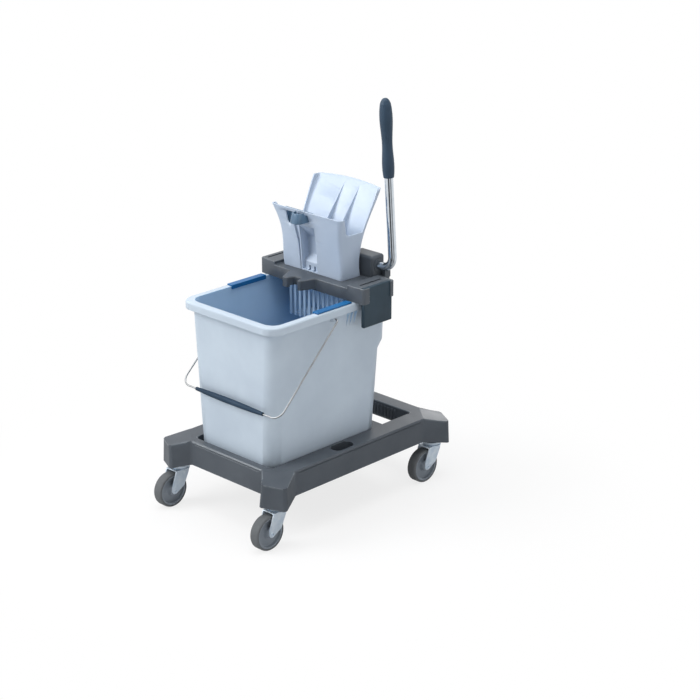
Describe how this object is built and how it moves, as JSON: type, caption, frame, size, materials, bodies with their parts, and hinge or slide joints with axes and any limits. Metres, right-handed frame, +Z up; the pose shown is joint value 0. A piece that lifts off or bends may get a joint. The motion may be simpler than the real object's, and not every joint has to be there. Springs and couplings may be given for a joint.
{
  "type": "mop bucket trolley",
  "caption": "Wheeled mop bucket with a lift-off press: grey castor chassis, pale blue bucket with a wire bail, and a flared mop funnel squeezed by an upright side lever.",
  "frame": {"origin": "on the floor, under the middle of the whole trolley", "axes": "+X to the lever side, +Y along the trolley from the bucket's bail end to the open rear end, +Z up"},
  "size_m": [0.3768, 0.5739, 0.877],
  "materials": {
    "chassis_plastic": "grey polypropylene, lightly textured, satin",
    "bucket_plastic": "pale blue-grey polypropylene, smooth",
    "press_plastic": "pale blue-grey polypropylene, smooth",
    "sieve_plastic": "blue-grey polypropylene",
    "clip_plastic": "bright blue plastic",
    "retainer_plastic": "mid blue-grey plastic",
    "slate_plastic": "dark slate plastic",
    "grip_plastic": "dark slate-blue plastic",
    "gear_plastic": "natural acetal",
    "bush_plastic": "black bearing plastic",
    "hub_plastic": "blue-grey polypropylene",
    "tyre_rubber": "grey non-marking rubber",
    "zinc_steel": "zinc plated",
    "bail_steel": "drawn steel wire",
    "lever_chrome": "polished chrome plate"
  },
  "bodies": {
    "chassis": {"chassis_frame": "chassis_plastic", "castor_stem_front_left": "zinc_steel", "castor_stem_front_right": "zinc_steel", "castor_stem_rear_left": "zinc_steel", "castor_stem_rear_right": "zinc_steel", "swivel_washer_front_left": "zinc_steel", "swivel_washer_front_right": "zinc_steel", "swivel_washer_rear_left": "zinc_steel", "swivel_washer_rear_right": "zinc_steel"},
    "bucket": {"bucket_shell": "bucket_plastic", "rim_clip_left": "clip_plastic", "rim_clip_right": "clip_plastic"},
    "bail": {"bail_wire": "bail_steel"},
    "bail_handle": {"bail_grip": "slate_plastic"},
    "press": {"press_holder": "chassis_plastic", "side_panel": "slate_plastic", "press_funnel": "press_plastic", "pole_retainer": "retainer_plastic", "sieve_basket": "sieve_plastic", "gear_housing": "chassis_plastic", "lever_bush": "chassis_plastic", "shaft_bush_left": "bush_plastic", "shaft_bush_right": "bush_plastic", "housing_screws": "zinc_steel"},
    "lever": {"lever_tube": "lever_chrome", "lever_grip": "grip_plastic", "lever_sector": "gear_plastic"},
    "press_rocker": {"press_shaft": "zinc_steel", "press_sector": "gear_plastic", "press_plate": "sieve_plastic"},
    "castor_front_left": {"castor_fork_front_left": "zinc_steel", "castor_axle_front_left": "zinc_steel"},
    "wheel_front_left": {"wheel_hub_front_left": "hub_plastic", "wheel_tyre_front_left": "tyre_rubber"},
    "castor_front_right": {"castor_fork_front_right": "zinc_steel", "castor_axle_front_right": "zinc_steel"},
    "wheel_front_right": {"wheel_hub_front_right": "hub_plastic", "wheel_tyre_front_right": "tyre_rubber"},
    "castor_rear_left": {"castor_fork_rear_left": "zinc_steel", "castor_axle_rear_left": "zinc_steel"},
    "wheel_rear_left": {"wheel_hub_rear_left": "hub_plastic", "wheel_tyre_rear_left": "tyre_rubber"},
    "castor_rear_right": {"castor_fork_rear_right": "zinc_steel", "castor_axle_rear_right": "zinc_steel"},
    "wheel_rear_right": {"wheel_hub_rear_right": "hub_plastic", "wheel_tyre_rear_right": "tyre_rubber"}
  },
  "joints": [
    {"name": "castor_swivel_front_left", "type": "hinge", "parent": "chassis", "child": "castor_front_left", "pos_m": [-0.15, -0.2195, 0.081], "axis": [0, 0, 1], "continuous": true},
    {"name": "wheel_spin_front_left", "type": "hinge", "parent": "castor_front_left", "child": "wheel_front_left", "pos_m": [-0.15, -0.2495, 0.0375], "axis": [1, 0, 0], "continuous": true},
    {"name": "castor_swivel_front_right", "type": "hinge", "parent": "chassis", "child": "castor_front_right", "pos_m": [0.15, -0.2195, 0.081], "axis": [0, 0, 1], "continuous": true},
    {"name": "wheel_spin_front_right", "type": "hinge", "parent": "castor_front_right", "child": "wheel_front_right", "pos_m": [0.15, -0.2495, 0.0375], "axis": [1, 0, 0], "continuous": true},
    {"name": "castor_swivel_rear_left", "type": "hinge", "parent": "chassis", "child": "castor_rear_left", "pos_m": [-0.15, 0.2495, 0.081], "axis": [0, 0, 1], "continuous": true},
    {"name": "wheel_spin_rear_left", "type": "hinge", "parent": "castor_rear_left", "child": "wheel_rear_left", "pos_m": [-0.15, 0.2195, 0.0375], "axis": [1, 0, 0], "continuous": true},
    {"name": "castor_swivel_rear_right", "type": "hinge", "parent": "chassis", "child": "castor_rear_right", "pos_m": [0.15, 0.2495, 0.081], "axis": [0, 0, 1], "continuous": true},
    {"name": "wheel_spin_rear_right", "type": "hinge", "parent": "castor_rear_right", "child": "wheel_rear_right", "pos_m": [0.15, 0.2195, 0.0375], "axis": [1, 0, 0], "continuous": true},
    {"name": "bucket_lift", "type": "slide", "parent": "chassis", "child": "bucket", "axis": [0, 0, 1], "range_m": [0, 0.12]},
    {"name": "press_lift", "type": "slide", "parent": "bucket", "child": "press", "axis": [0, 0, 1], "range_m": [0, 0.12]},
    {"name": "bail_swing", "type": "hinge", "parent": "bucket", "child": "bail", "pos_m": [0, -0.036, 0.438], "axis": [-1, 0, 0], "range_deg": [0, 134]},
    {"name": "bail_grip_spin", "type": "hinge", "parent": "bail", "child": "bail_handle", "pos_m": [0, -0.2095, 0.27], "axis": [1, 0, 0], "continuous": true},
    {"name": "lever_swing", "type": "hinge", "parent": "press", "child": "lever", "pos_m": [0.106, 0.122, 0.511], "axis": [1, 0, 0], "range_deg": [0, 32]},
    {"name": "press_swing", "type": "hinge", "parent": "press", "child": "press_rocker", "pos_m": [0, 0.122, 0.475], "axis": [1, 0, 0], "range_deg": [-32, 0]}
  ],
  "couplings": [
    {"joint": "press_swing", "follows": "lever_swing", "ratio": -1}
  ]
}
